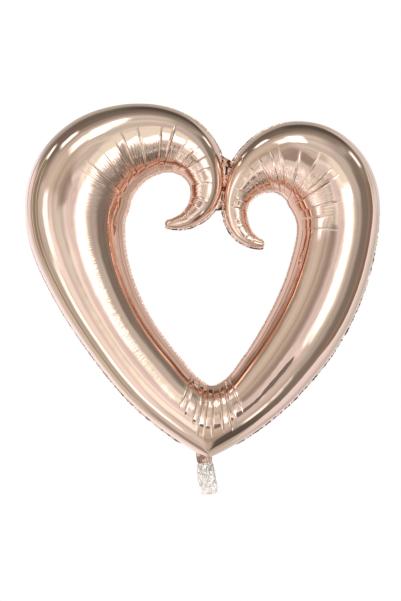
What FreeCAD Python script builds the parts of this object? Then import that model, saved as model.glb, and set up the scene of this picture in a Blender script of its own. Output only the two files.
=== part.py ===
import FreeCAD, Part
import math
import os
from collections import namedtuple

# Open-heart foil balloon: a metallised film tube bent into a heart whose two ends curl inwards as hooks.
#
# Two identical die-cut sheets, front and rear, are heat-sealed together along their edges and blown up, so the
# heart is a round tube with a flat sealed margin (the seam) standing out along its outer and its inner edge.
# The hooks lean on each other at the top and share one web of sealed film there. A flat two-film check valve
# runs up through the neck at the bottom. The neck's tail is a limp foil sleeve that folds at its gather, twists,
# and curls near its open end.
#
# Millimetres. X is to the right as the front is seen, Z is up, the front faces -Y, and the seam lies in the
# plane Y = 0. The origin is the middle of the gather, where a ribbon is tied and the tail folds.

Vector = FreeCAD.Vector
Station = namedtuple("Station", "distance heading radius")

# ---------------------------------------------------------------- driving dimensions: the heart
BOTTOM_TIP = Vector(5.5, 0, 8.0)     # lowest point of the blown-up heart
MITRE_LEAN = 86.5                    # direction from the bottom tip up to the inside of the vee, 90 is straight up
MITRE_HALF_ANGLE = 64.0              # between that line and each arm where they meet
ROOT_RADIUS = 79.0                   # half depth of the tube at the mitre

# Middle line of each arm: distance from the mitre, heading (0 is +X, 90 is up) and tube radius there.
LEFT_ARM = [
    Station(0, MITRE_LEAN + MITRE_HALF_ANGLE, ROOT_RADIUS),
    Station(160, 134.0, 82.0),
    Station(320, 123.0, 86.5),
    Station(468, 112.5, 100.5),
    Station(598, 97.5, 119.0),
    Station(698, 70.5, 127.0),
    Station(797, 39.5, 116.0),
    Station(877, 18.5, 98.5),
    Station(957, -6.0, 81.5),
    Station(1036, -41.0, 64.5),
    Station(1116, -82.0, 44.0),
    Station(1196, -129.0, 29.0),
    Station(1266, -173.0, 12.0),
    Station(1290, -186.0, 7.0),
]
RIGHT_ARM = [
    Station(0, MITRE_LEAN - MITRE_HALF_ANGLE, ROOT_RADIUS),
    Station(160, 46.5, 79.5),
    Station(318, 58.0, 91.0),
    Station(462, 70.5, 96.0),
    Station(591, 83.5, 98.0),
    Station(690, 110.5, 108.0),
    Station(770, 144.5, 107.5),
    Station(849, 182.0, 92.5),
    Station(929, 218.0, 62.0),
    Station(1008, 252.5, 34.5),
    Station(1088, 300.0, 24.0),
    Station(1142, 339.0, 12.0),
    Station(1164, 356.0, 7.0),
]
MITRE_REACH = 190.0                  # how far up each arm the sections take to turn square to the tube
TIP_ROUNDING = 6.0                   # length over which each hook's end closes
TIP_RADIUS = 1.3                     # what is left of the tube at the very end
FILM = 1.0                           # wall of the two blown-up sheets
SECTION_STEP = 42.0                  # spacing of the lofted sections
SECTION_POINTS = 13                  # points across each half section

# ---------------------------------------------------------------- driving dimensions: the sealed margins
SEAM_WIDTH = 6.0                     # margin outside the tube
INNER_SEAM_WIDTH = 3.0               # trimmed narrower around the open middle
SEAM_THICKNESS = 1.0
NECK_GAP = 30.0                      # half width left out of the outer seam for the neck
WEB_REACH = 8.0                      # the web fills the space between the hooks this far out from both

# ---------------------------------------------------------------- driving dimensions: neck, tail and valve
NECK_LEAN = 8.0                      # the neck and tail hang this far off plumb, to the right
THROAT_WIDTH = 40.0                  # where the two sheets run together below the heart
THROAT_DEPTH = 6.5                   # half depth
THROAT_Z = (4.9, 20.0)
THROAT_OPENING_TOP = 36.0            # the heart's wall is open up to here
GATHER_WIDTH = 40.0
GATHER_DEPTH = 9.0
GATHER_Z = (-4.0, 4.0)
TAIL_WIDTH = 47.0
TAIL_DEPTH = 4.0                     # half depth
TAIL_FILM = 0.8
TAIL_EDGE = 1.5                      # side weld of the tail
TAIL_UPPER_Z = (-34.0, -8.0)
TAIL_LOWER_Z = (-82.0, -40.0)

VALVE_WIDTH = 27.0
VALVE_FILM = 0.5
PASSAGE_WIDTH = 23.0                 # gas passage between the two valve films
PASSAGE_DEPTH = 0.8
VALVE_TOP = 105.0
WELD_Z = (6.0, 11.0)
FRONT_FILM_FOOT = 11.05
REAR_FILM_FOOT = 12.0
FILM_CORNER = 6.0                    # rounding of the films' free corners
SLEEVE_END_GAP = 1.0                 # the valve's sleeve stops this far inside each stretch of tail
CLEARANCE = 0.05                     # between pieces that lie on each other without being fused

OUT = "parts"


# ---------------------------------------------------------------- the tube
def smooth(stations, field, distance):
    """Value of a station field at a distance: a cubic between stations, with matched slopes."""
    places = [station.distance for station in stations]
    values = [getattr(station, field) for station in stations]
    last = len(places) - 1

    def slope(k):
        low, high = max(k - 1, 0), min(k + 1, last)
        return (values[high] - values[low]) / (places[high] - places[low])

    k = max(i for i in range(last) if places[i] <= max(distance, 0.0))
    span = places[k + 1] - places[k]
    rise = values[k + 1] - values[k]
    t = (distance - places[k]) / span
    start_bend = slope(k) * span - rise
    end_bend = rise - slope(k + 1) * span
    return values[k] + t * rise + t * (1 - t) * ((1 - t) * start_bend + t * end_bend)


class Arm:
    """One side of the heart, from the bottom mitre to the tip of its hook."""

    def __init__(self, stations, outer_side):
        self.stations = stations
        self.outer_side = outer_side     # +1 if the outer edge is on the left of the heading, else -1
        self.length = float(stations[-1].distance)
        self.path = self.walk()

    def walk(self):
        """Middle line as one point per millimetre, found by following the heading from the mitre."""
        half_height = ROOT_RADIUS / math.sin(math.radians(MITRE_HALF_ANGLE))
        lean = math.radians(MITRE_LEAN)
        place = BOTTOM_TIP + Vector(math.cos(lean), 0, math.sin(lean)) * half_height
        path = [place]
        for k in range(int(self.length)):
            heading = math.radians(smooth(self.stations, "heading", k + 0.5))
            place = place + Vector(math.cos(heading), 0, math.sin(heading))
            path.append(place)
        return path

    def frame(self, distance):
        """Middle point, direction along the tube and direction to its outer edge."""
        k = min(int(distance), len(self.path) - 2)
        centre = self.path[k] + (self.path[k + 1] - self.path[k]) * (distance - k)
        heading = math.radians(smooth(self.stations, "heading", distance))
        along = Vector(math.cos(heading), 0, math.sin(heading))
        outward = Vector(-along.z, 0, along.x) * self.outer_side
        return centre, along, outward

    def radius(self, distance):
        closing = max(0.0, 1 - (self.length - distance) / TIP_ROUNDING)
        return TIP_RADIUS + (smooth(self.stations, "radius", distance) - TIP_RADIUS) * math.sqrt(1 - closing ** 2)

    def point(self, distance, angle, offset=0.0):
        """Point of the front half: angle 0 is the outer seam, 90 the crown, 180 the inner seam.

        Near the mitre the section leans over, until at distance 0 it lies in the mitre's own plane."""
        centre, along, outward = self.frame(distance)
        root_along = self.frame(0.0)[1]
        radius = self.radius(distance) + offset
        sideways = radius * math.cos(math.radians(angle))
        depth = radius * math.sin(math.radians(angle))
        rest = max(0.0, 1 - distance / MITRE_REACH)
        lean = rest * rest * (3 - 2 * rest) / math.tan(math.radians(MITRE_HALF_ANGLE))
        return centre + outward * sideways - root_along * (sideways * lean) - Vector(0, depth, 0)

    def section_places(self):
        """Distances of the lofted sections, closer together where the hook's end closes."""
        straight = self.length - TIP_ROUNDING
        count = round(straight / SECTION_STEP)
        places = [straight * k / count for k in range(count + 1)]
        return places + [self.length - TIP_ROUNDING * part for part in (0.5, 0.15, 0.0)]

    def edge(self, angle, offset, start, stop, step=12.0):
        """Points along a seam, at an offset outside the tube."""
        count = max(3, round(abs(stop - start) / step))
        return [self.point(start + (stop - start) * k / count, angle, offset) for k in range(count + 1)]


def spline(points):
    curve = Part.BSplineCurve()
    curve.interpolate(points)
    return curve.toShape()


def across_film(arm, distance, offset, angles):
    """Curve across the front film that leaves and meets the seam plane at right angles."""
    radius = arm.radius(distance) + offset
    curve = Part.BSplineCurve()
    curve.interpolate(
        Points=[arm.point(distance, angle, offset) for angle in angles],
        Parameters=[math.radians(abs(angle - angles[0])) for angle in angles],
        InitialTangent=Vector(0, -radius, 0),
        FinalTangent=Vector(0, radius, 0),
        Scale=False,
    )
    return curve.toShape()


def half_section(arm, distance):
    """Closed crescent across the front film: outer face, inner face and the two seam edges."""
    angles = [180.0 * k / (SECTION_POINTS - 1) for k in range(SECTION_POINTS)]
    outer = across_film(arm, distance, 0.0, angles)
    inner = across_film(arm, distance, -FILM, list(reversed(angles)))
    return Part.Wire([
        outer,
        Part.makeLine(arm.point(distance, 180), arm.point(distance, 180, -FILM)),
        inner,
        Part.makeLine(arm.point(distance, 0, -FILM), arm.point(distance, 0)),
    ])


def front_shell(arms):
    """The blown-up front sheet: one lofted half tube per arm, joined at the bottom mitre."""
    mitre = half_section(arms[0], 0.0)
    halves = []
    for arm in arms:
        sections = [mitre] + [half_section(arm, place) for place in arm.section_places()[1:]]
        halves.append(Part.makeLoft(sections, True, False))
    return halves[0].fuse(halves[1])


def mirrored(shape):
    """The same piece on the rear side."""
    return shape.mirror(Vector(0, 0, 0), Vector(0, 1, 0))


# ---------------------------------------------------------------- the sealed margins
def rim(shell, arm, angle):
    """The blown-up sheet's own edge along one seam, which the margin starts from."""
    middle = Part.Vertex(arm.point(arm.length / 2, angle))
    flat = [edge for edge in shell.Edges if edge.BoundBox.YLength < CLEARANCE]
    return min(flat, key=lambda edge: edge.distToShape(middle)[0])


def plate(root, free):
    """Flat plate between two edges in the seam plane."""
    first, last = root.Vertexes[0].Point, root.Vertexes[-1].Point
    near, far = sorted((free.Vertexes[0].Point, free.Vertexes[-1].Point), key=first.distanceToPoint)
    outline = Part.Wire(Part.__sortEdges__([root, Part.makeLine(last, far), free, Part.makeLine(near, first)]))
    face = Part.Face(outline)
    face.translate(Vector(0, -SEAM_THICKNESS / 2, 0))
    return face.extrude(Vector(0, SEAM_THICKNESS, 0))


def margin(shell, arm, angle, width):
    """Sealed margin down one edge of an arm."""
    return plate(rim(shell, arm, angle), spline(arm.edge(angle, width, 0, arm.length)))


def tip_margin(arm):
    """Half disc that carries the margin around the closed end of a hook."""
    centre, along, _ = arm.frame(arm.length)
    radius = TIP_RADIUS + SEAM_WIDTH
    disc = Part.makeCylinder(radius, SEAM_THICKNESS, Vector(0, -SEAM_THICKNESS / 2, 0), Vector(0, 1, 0))
    side = 2 * radius
    disc = disc.cut(Part.makeBox(side, side, side, Vector(-side, -side / 2, -side / 2)))
    disc.Placement = FreeCAD.Placement(centre, FreeCAD.Rotation(Vector(1, 0, 0), along))
    return disc


def tube_shadow(shell, arm):
    """Plate covering the whole tube, from its outer to its inner seam."""
    return plate(rim(shell, arm, 0), rim(shell, arm, 180))


def hook_web(shell, left, right):
    """Film left between the two hooks, sealed flat and shared by both."""
    off_left = margin(shell, left, 0, WEB_REACH).cut(tube_shadow(shell, right))
    off_right = margin(shell, right, 0, WEB_REACH).cut(tube_shadow(shell, left))
    return off_left.common(off_right)


def neck_clearance():
    """Space around the bottom tip that the outer margins stay out of."""
    low = BOTTOM_TIP - Vector(NECK_GAP, SEAM_THICKNESS, NECK_GAP)
    return Part.makeBox(2 * NECK_GAP, 2 * SEAM_THICKNESS, 2 * NECK_GAP, low)


# ---------------------------------------------------------------- neck and tail, built hanging straight down
def hang(shape):
    """Lean a neck piece about the origin, as the real neck hangs."""
    return shape.rotate(Vector(0, 0, 0), Vector(0, 1, 0), -NECK_LEAN)


def block(width, y_range, z_range):
    low = Vector(-width / 2, y_range[0], z_range[0])
    return Part.makeBox(width, y_range[1] - y_range[0], z_range[1] - z_range[0], low)


def front_lens(width, depth, z_range, back=0.0):
    """Solid bounded by an arc in front and a flat back."""
    left, middle, right = Vector(-width / 2, back, 0), Vector(0, -depth, 0), Vector(width / 2, back, 0)
    outline = Part.Wire([Part.Arc(left, middle, right).toShape(), Part.makeLine(right, left)])
    face = Part.Face(outline)
    face.translate(Vector(0, 0, z_range[0]))
    return face.extrude(Vector(0, 0, z_range[1] - z_range[0]))


def sleeve_half(width, depth, film, side_weld, z_range):
    """Front film of a flat sleeve, with a weld down each side."""
    hollow = front_lens(width - 2 * side_weld, depth - film, z_range)
    return front_lens(width, depth, z_range).cut(hollow)


def gather():
    """Pinched foil at the tie point, with a slot for the valve."""
    oval = Part.Ellipse(Vector(0, 0, 0), GATHER_WIDTH / 2, GATHER_DEPTH / 2).toShape()
    face = Part.Face(Part.Wire([oval]))
    face.translate(Vector(0, 0, GATHER_Z[0]))
    body = face.extrude(Vector(0, 0, GATHER_Z[1] - GATHER_Z[0]))
    half_slot = PASSAGE_DEPTH / 2 + VALVE_FILM + CLEARANCE
    return body.cut(block(VALVE_WIDTH + 2 * CLEARANCE, (-half_slot, half_slot), GATHER_Z))


def valve_sleeve(z_range):
    """Stretch of the valve where its films are welded along both sides into a flat tube."""
    half_depth = PASSAGE_DEPTH / 2 + VALVE_FILM
    outer = block(VALVE_WIDTH, (-half_depth, half_depth), z_range)
    return outer.cut(block(PASSAGE_WIDTH, (-PASSAGE_DEPTH / 2, PASSAGE_DEPTH / 2), z_range))


def valve_film(side, foot):
    """Free film inside the heart, with rounded upper corners; side is -1 in front and +1 behind."""
    inner = side * PASSAGE_DEPTH / 2
    outer = inner + side * VALVE_FILM
    film = block(VALVE_WIDTH, (min(inner, outer), max(inner, outer)), (foot, VALVE_TOP))
    corners = [
        edge for edge in film.Edges
        if abs(edge.CenterOfMass.z - VALVE_TOP) < CLEARANCE and abs(edge.CenterOfMass.x) > VALVE_WIDTH / 2 - CLEARANCE
    ]
    return film.makeFillet(FILM_CORNER, corners)


def anchor_weld():
    """Collar that fuses the valve to both foil sheets and leaves the gas passage open."""
    fit_width = THROAT_WIDTH - 2 * (FILM + CLEARANCE)
    fit_depth = THROAT_DEPTH - FILM - CLEARANCE
    front = front_lens(fit_width, fit_depth, WELD_Z)
    collar = front.fuse(mirrored(front)).removeSplitter()
    return collar.cut(block(PASSAGE_WIDTH, (-PASSAGE_DEPTH / 2, PASSAGE_DEPTH / 2), WELD_Z))


def inset(z_range):
    return (z_range[0] + SLEEVE_END_GAP, z_range[1] - SLEEVE_END_GAP)


# ---------------------------------------------------------------- the assembly
def panels_and_margins():
    left, right = Arm(LEFT_ARM, outer_side=1), Arm(RIGHT_ARM, outer_side=-1)
    shell = front_shell((left, right))
    opening = hang(front_lens(THROAT_WIDTH - 2 * FILM, THROAT_DEPTH - FILM, (THROAT_Z[0], THROAT_OPENING_TOP)))
    throat = hang(sleeve_half(THROAT_WIDTH, THROAT_DEPTH, FILM, FILM, THROAT_Z))
    front = shell.fuse(throat).cut(opening)

    web = hook_web(shell, left, right)
    outer_left = margin(shell, left, 0, SEAM_WIDTH).fuse(tip_margin(left))
    outer_right = margin(shell, right, 0, SEAM_WIDTH).fuse(tip_margin(right))
    inner = margin(shell, left, 180, INNER_SEAM_WIDTH).fuse(margin(shell, right, 180, INNER_SEAM_WIDTH))
    outer_left = outer_left.cut(web).cut(tube_shadow(shell, right)).cut(neck_clearance())
    outer_right = outer_right.cut(web).cut(tube_shadow(shell, left)).cut(neck_clearance())
    return {
        "front_panel": front,
        "rear_panel": mirrored(front),
        "outer_seam_left": outer_left,
        "outer_seam_right": outer_right,
        "inner_seam": inner.cut(outer_left).cut(outer_right).removeSplitter(),
        "hook_web": web,
    }


def neck_and_valve():
    upper_front = sleeve_half(TAIL_WIDTH, TAIL_DEPTH, TAIL_FILM, TAIL_EDGE, TAIL_UPPER_Z)
    lower_front = sleeve_half(TAIL_WIDTH, TAIL_DEPTH, TAIL_FILM, TAIL_EDGE, TAIL_LOWER_Z)
    straight = {
        "valve_anchor_weld": anchor_weld(),
        "valve_front_film": valve_film(-1, FRONT_FILM_FOOT),
        "valve_rear_film": valve_film(1, REAR_FILM_FOOT),
        "neck_gather": gather(),
        "valve_neck_sleeve": valve_sleeve(GATHER_Z),
        "tail_upper_front": upper_front,
        "tail_upper_rear": mirrored(upper_front),
        "valve_inlet_upper": valve_sleeve(inset(TAIL_UPPER_Z)),
        "tail_lower_front": lower_front,
        "tail_lower_rear": mirrored(lower_front),
        "valve_inlet_lower": valve_sleeve(inset(TAIL_LOWER_Z)),
    }
    return {name: hang(shape) for name, shape in straight.items()}


def main():
    os.makedirs(OUT, exist_ok=True)
    for name, shape in {**panels_and_margins(), **neck_and_valve()}.items():
        shape.exportStep(f"{OUT}/{name}.step")
        print(f"{name}: {len(shape.Solids)} solid, valid {shape.isValid()}, {shape.Volume:.0f} mm3")


main()
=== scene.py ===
"""Looks of the open-heart foil balloon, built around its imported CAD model.

The two blown-up foil sheets are rebuilt as fine meshes on the CAD model's own middle lines, with the pleats
that film takes on the inside of a bend. The sealed margins, the web between the hooks and the limp neck are
rebuilt as crinkled film. The valve films are the CAD nodes themselves with their own materials.

Lengths are millimetres until a mesh is made. The frame is the CAD model's: X right, Z up, front towards -Y,
seam plane Y = 0, origin at the neck gather.
"""
import math
from collections import namedtuple

import bpy
import numpy as np
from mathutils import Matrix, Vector, noise


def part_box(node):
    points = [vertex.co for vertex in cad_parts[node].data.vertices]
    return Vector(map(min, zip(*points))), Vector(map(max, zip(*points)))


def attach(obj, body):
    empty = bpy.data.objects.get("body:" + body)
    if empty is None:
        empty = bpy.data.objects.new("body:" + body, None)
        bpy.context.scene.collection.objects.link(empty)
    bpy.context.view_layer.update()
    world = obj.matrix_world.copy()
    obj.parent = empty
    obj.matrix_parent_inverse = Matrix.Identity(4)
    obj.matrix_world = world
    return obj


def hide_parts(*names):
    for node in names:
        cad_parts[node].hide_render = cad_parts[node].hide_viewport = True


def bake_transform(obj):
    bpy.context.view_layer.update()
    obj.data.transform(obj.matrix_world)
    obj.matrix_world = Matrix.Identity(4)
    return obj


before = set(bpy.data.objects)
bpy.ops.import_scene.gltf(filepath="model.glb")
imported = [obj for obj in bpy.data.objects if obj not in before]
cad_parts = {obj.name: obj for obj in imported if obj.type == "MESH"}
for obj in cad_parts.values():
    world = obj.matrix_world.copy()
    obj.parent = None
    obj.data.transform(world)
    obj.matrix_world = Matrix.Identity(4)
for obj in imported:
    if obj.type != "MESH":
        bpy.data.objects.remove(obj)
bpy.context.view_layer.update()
MM = 0.001

# -------------------------------- driving dimensions, as in the CAD model
Station = namedtuple("Station", "distance heading radius")
BOTTOM_TIP = (5.5, 0.0, 8.0)
MITRE_LEAN = 86.5
MITRE_HALF_ANGLE = 64.0
ROOT_RADIUS = 79.0
LEFT_ARM = [
    Station(0, MITRE_LEAN + MITRE_HALF_ANGLE, ROOT_RADIUS),
    Station(160, 134.0, 82.0),
    Station(320, 123.0, 86.5),
    Station(468, 112.5, 100.5),
    Station(598, 97.5, 119.0),
    Station(698, 70.5, 127.0),
    Station(797, 39.5, 116.0),
    Station(877, 18.5, 98.5),
    Station(957, -6.0, 81.5),
    Station(1036, -41.0, 64.5),
    Station(1116, -82.0, 44.0),
    Station(1196, -129.0, 29.0),
    Station(1266, -173.0, 12.0),
    Station(1290, -186.0, 7.0),
]
RIGHT_ARM = [
    Station(0, MITRE_LEAN - MITRE_HALF_ANGLE, ROOT_RADIUS),
    Station(160, 46.5, 79.5),
    Station(318, 58.0, 91.0),
    Station(462, 70.5, 96.0),
    Station(591, 83.5, 98.0),
    Station(690, 110.5, 108.0),
    Station(770, 144.5, 107.5),
    Station(849, 182.0, 92.5),
    Station(929, 218.0, 62.0),
    Station(1008, 252.5, 34.5),
    Station(1088, 300.0, 24.0),
    Station(1142, 339.0, 12.0),
    Station(1164, 356.0, 7.0),
]
MITRE_REACH = 190.0
TIP_ROUNDING = 6.0
TIP_RADIUS = 1.3
SEAM_WIDTH = 6.0
INNER_SEAM_WIDTH = 3.0
NECK_GAP = 30.0
NECK_LEAN = 8.0

# -------------------------------- how fine the meshes are
ANGLE_STEPS = 80                     # quads across a half tube
SMOOTH_STEP = 5.0                    # spacing of mesh lines on smooth stretches
FACET_STEP = 2.6                     # spacing inside a pleat's facet
CREASE_LINES = (0.0, 0.7, 1.6, 3.0, 5.0)   # distances of the mesh lines beside a crease
CLOSEST_LINES = 0.3                  # mesh lines nearer to each other than this are dropped
MARGIN_STEP = 1.3
MARGIN_COLUMNS = 6                   # points across a sealed margin

# -------------------------------- how the film creases
# Pleated stretches: from and to along an arm, spacing of the creases, the angles round the tube at which the
# first and the last crease start, how far those scatter, depth of the creases, and tilt of the facets.
Stretch = namedtuple("Stretch", "first last pitch start_angles spread depth facet_height")
LEFT_PLEATS = [
    Stretch(735, 985, 36, (112, 84), 7.0, 1.5, 2.8),
    Stretch(985, 1284, 29, (84, 78), 7.0, 1.1, 3.0),
]
RIGHT_PLEATS = [
    Stretch(590, 870, 38, (114, 86), 7.0, 1.6, 2.8),
    Stretch(870, 1160, 25, (86, 76), 7.0, 1.0, 3.0),
]
VEE_REACH = 92.0                     # the vee's creases run this far up each arm from the mitre
VEE_PLEATS = Stretch(-VEE_REACH, VEE_REACH, 20, (78, 78), 9.0, 1.9, 3.2)
VEE_FANNING = 26.0                   # degrees later that its outermost creases start
CREASE_SCATTER = 0.3                 # how far a crease is off its place, in pitches
CREASE_DEPTHS = (0.5, 1.6)           # shallowest and deepest crease, in depths of its stretch
CREASE_ENDS = (148, 172)             # angles between which a crease dies out towards the inner seam
CREASE_SLOPE = 1.3                   # how wide a crease's valley is
CREASE_FADES = (-14, 10), (-6, 8)    # degrees about its start and its end over which it comes and goes
FACET_FADES = (-4, 14), (0, 14)      # the same for the flat facets beside it
FACET_BULGE = (85.0, 75.0)           # a bulging facet begins at this angle and spans this many degrees
FACET_EDGE = 0.12                    # part of a facet's width over which it rises from the crease
FLATTENING = 0.92                    # how far film between two creases loses its roundness
ROUNDED_REACH = 115.0                # the mitre's sharp ridge is smoothed this far up each arm
ROUNDED_FADE = (0.55, 0.95)          # and fades out between these parts of that
MITRE_ROUNDING, LEAST_ROUNDING = 27.0, 0.4      # lengths it is smoothed over, at the crown and at the prow
PROW_ANGLES = (38, 82)               # between the prow and the crown
VEE_ROUNDING, VEE_ANGLES = 0.45, (120, 180)     # the inside of the vee is smoothed less, by this part
CROSSING = 100.0                     # mesh lines cross the mitre in one run that reaches this far up each arm
# The comb of fine creases: angles where it sets in and dies out, wide in the bends, narrow on the left arm
COMB_IN_BENDS, COMB_ON_ARM = ((97, 114), (130, 146)), ((96, 104), (111, 119))
COMB_HOOKS = (560, 760)              # distances up the arms between which the bends' comb sets in
COMB_VEE = (0.9, 60.0)               # its strength at the mitre and how far that reaches
COMB_LEFT = (0.8, 380.0, 160.0)      # strength of the left arm's comb, its middle and its reach

# How strongly the outer margin is crinkled: distances along the arm, then strengths between 0 and 1
LEFT_RUFFLES = ((0, 120, 330, 520, 1000, 1080, 1290), (0.9, 0.8, 0.5, 0.12, 0.12, 0.7, 1.0))
RIGHT_RUFFLES = ((0, 120, 560, 640, 860, 920, 1164), (0.9, 1.0, 1.0, 0.2, 0.2, 0.8, 1.0))
STRIP_THICKNESS = 0.35
MARGIN_END_GAP = 1.0                 # the margins stop this far from the hook's end
MARGIN_SHARES = (0.70, 0.12, 0.16)   # of the seam's width: everywhere, more where it is ruffled, random there
MARGIN_PITCH = 5.0                   # spacing of that random part
HOOK_SHARE = 0.47                    # part of the gap to the other hook that a margin may fill
LEAST_MARGIN = 0.6
RUFFLE_PITCHES, RUFFLE_HEIGHTS = (7.0, 3.6), (2.4, 1.5)
SKEW_PITCH, SKEW_HEIGHT = 4.0, 0.5   # folds in the middle of a margin
INNER_SHARES, INNER_PITCH = (0.92, 0.06), 14.0
INNER_WAVE, INNER_WAVE_HEIGHT, INNER_STRENGTH = (12.0,), (0.15,), 0.4
WEB_PITCHES, WEB_HEIGHTS = (7.0, 3.2), (3.6, 1.8)
WEB_ON_LEFT, WEB_ON_RIGHT = (1076.0, 1180.0), (900.0, 1080.0)   # along each arm, where the hooks share film
WEB_RUFFLE = 0.6

# -------------------------------- neck and tail
THROAT_TOP, TAIL_END = 24.0, -82.0
NECK_ROWS, NECK_POINTS = 107, 112    # mesh points along the sleeve and round it
GATHER_Z = -2.0                      # the throat's folds end here
GATHER_CUT, CURL_CUT = -3.0, -31.0   # heights where one piece of the sleeve ends and the next begins
VALVE_ROOM = 1.5                     # least distance from the seam plane to the sleeve over the valve films
EDGE_ROOM = 0.25                     # and beside them
VALVE_EDGE = (13.5, 17.0)            # half widths between which the one turns into the other
SLEEVE_Z = [-82, -66, -44, -26, -12, -7, -3, 1, 9, 24]
SLEEVE_HALF_WIDTH = [20.5, 22.4, 23.0, 22.6, 21.6, 20.0, 16.6, 18.4, 19.4, 19.5]
SLEEVE_HALF_DEPTH = [2.8, 3.4, 3.6, 3.8, 4.4, 5.0, 2.9, 5.4, 5.8, 6.0]
LOOSE_Z = (1.0, -12.0)               # the sleeve goes from gathered to loose between these heights
CRUMPLE_SIZE, CRUMPLE_HEIGHT, CRUMPLE_STRETCH = 15.0, 4.2, (1.0, 1.3, 0.6)
CRUMPLE_SHIFT = (15.5, 0.0, 6.5)     # picks one stretch of the endless crumple pattern
PINCH_FOLDS, PINCH_REACH = 8.0, 6.0  # folds on each half turn of the gather, and how far from it they reach
SWAY, SWAY_LENGTH, SWAY_Z = 1.2, 15.0, (-4.0, -24.0)
RAGGED_END = ((2.2, 3.0), (1.5, 7.0))   # waves of the open end: height and number round it
RAGGED_Z = -66.0                     # the rows below this follow it
SHARP_CREASE = math.radians(16)
FOLD_BEND, TWIST_BEND, CURL_BEND = (8.0, -2.5), (-3.5, -14.0), (-32.0, -42.0)   # what each joint bends


def smoothstep(low, high, value):
    """0 up to low, 1 from high on, and a smooth rise between them."""
    t = np.clip((value - low) / (high - low), 0, 1)
    return t * t * (3 - 2 * t)


# -------------------------------- the tube, vectorised from the CAD formulas
def along_stations(stations, field, at):
    """A station field at distances: a cubic between stations, with matched slopes."""
    places = np.array([s.distance for s in stations], float)
    values = np.array([getattr(s, field) for s in stations], float)
    last = len(places) - 1
    low, high = np.maximum(np.arange(last + 1) - 1, 0), np.minimum(np.arange(last + 1) + 1, last)
    slopes = (values[high] - values[low]) / (places[high] - places[low])
    at = np.asarray(at, float)
    k = np.clip(np.searchsorted(places, at, side="right") - 1, 0, last - 1)
    span, rise = places[k + 1] - places[k], values[k + 1] - values[k]
    t = (at - places[k]) / span
    start_bend = slopes[k] * span - rise
    end_bend = rise - slopes[k + 1] * span
    return values[k] + t * rise + t * (1 - t) * ((1 - t) * start_bend + t * end_bend)


class Arm:
    """One side of the heart, from the bottom mitre to the tip of its hook."""

    def __init__(self, stations, outer_side):
        self.stations, self.outer_side = stations, outer_side
        self.length = float(stations[-1].distance)
        half_height = ROOT_RADIUS / math.sin(math.radians(MITRE_HALF_ANGLE))
        lean = math.radians(MITRE_LEAN)
        start = np.array([
            BOTTOM_TIP[0] + half_height * math.cos(lean),
            BOTTOM_TIP[2] + half_height * math.sin(lean),
        ])
        middles = np.arange(int(self.length)) + 0.5
        headings = np.radians(along_stations(stations, "heading", middles))
        steps = np.stack([np.cos(headings), np.sin(headings)], 1)
        self.path = np.vstack([start, start + np.cumsum(steps, axis=0)])

    def frame(self, distance):
        """Middle points, directions along the tube and directions to its outer edge, as (x, z) rows."""
        distance = np.asarray(distance, float)
        knots = np.arange(len(self.path))
        centre = np.stack([np.interp(distance, knots, self.path[:, i]) for i in (0, 1)], -1)
        heading = np.radians(along_stations(self.stations, "heading", distance))
        along = np.stack([np.cos(heading), np.sin(heading)], -1)
        outward = np.stack([-along[..., 1], along[..., 0]], -1) * self.outer_side
        return centre, along, outward

    def radius(self, distance):
        """Tube radius, which closes in a round end at the tip of the hook."""
        closing = np.clip(1 - (self.length - distance) / TIP_ROUNDING, 0, 1)
        full = along_stations(self.stations, "radius", distance)
        return TIP_RADIUS + (full - TIP_RADIUS) * np.sqrt(1 - closing ** 2)

    def points(self, distance, angle, offset=0.0):
        """Points of the front half; angle 0 is the outer seam, 90 the crown, 180 the inner seam."""
        angle = np.radians(np.asarray(angle, float))
        distance, angle = np.broadcast_arrays(np.asarray(distance, float), angle)
        centre, _, outward = self.frame(distance)
        root_along = self.frame(0.0)[1]
        radius = self.radius(distance) + offset
        sideways, depth = radius * np.cos(angle), radius * np.sin(angle)
        rest = np.clip(1 - distance / MITRE_REACH, 0, 1)
        lean = rest * rest * (3 - 2 * rest) / math.tan(math.radians(MITRE_HALF_ANGLE))
        flat = centre + outward * sideways[..., None] - root_along * (sideways * lean)[..., None]
        return np.stack([flat[..., 0], -depth, flat[..., 1]], -1)


LEFT, RIGHT = Arm(LEFT_ARM, 1), Arm(RIGHT_ARM, -1)


# -------------------------------- mesh helpers
def add_object(name, data):
    thing = bpy.data.objects.new(name, data)
    bpy.context.scene.collection.objects.link(thing)
    return thing


def new_piece(name, vertices, faces, material, smooth=True):
    """Mesh object from millimetre vertices, with its material."""
    mesh = bpy.data.meshes.new(name)
    mesh.from_pydata((np.asarray(vertices) * MM).tolist(), [], faces)
    mesh.materials.append(material)
    if smooth:
        mesh.shade_smooth()
    mesh.update()
    piece = add_object(name, mesh)
    return piece


def grid_faces(rows, columns, flip=False, wrap=False):
    """Quads of a rows x columns grid of vertices; wrap joins the last column to the first."""
    r, c = np.meshgrid(np.arange(rows - 1), np.arange(columns if wrap else columns - 1), indexing="ij")
    below, above, right = r * columns, (r + 1) * columns, (c + 1) % columns
    quads = np.stack([below + c, below + right, above + right, above + c], -1).reshape(-1, 4)
    return (quads[:, ::-1] if flip else quads).tolist()


def store(piece, name, values):
    """Per-vertex number that the piece's material reads."""
    attribute = piece.data.attributes.new(name, "FLOAT", "POINT")
    attribute.data.foreach_set("value", np.asarray(values, np.float32).ravel())


def random_folds(places, pitch, generator):
    """Crisp random folds: a value between -1 and 1 that turns at random knots about a pitch apart."""
    span = places[-1] - places[0]
    gaps = generator.uniform(0.5, 1.5, int(span / pitch) + 3) * pitch
    knots = places[0] + np.cumsum(gaps) - gaps[0]
    return np.interp(places, knots, generator.uniform(-1, 1, len(knots)))


# -------------------------------- pleats of the blown-up sheets
Pleats = namedtuple("Pleats", "creases depths starts ends offsets tilts facet_height")


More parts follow.
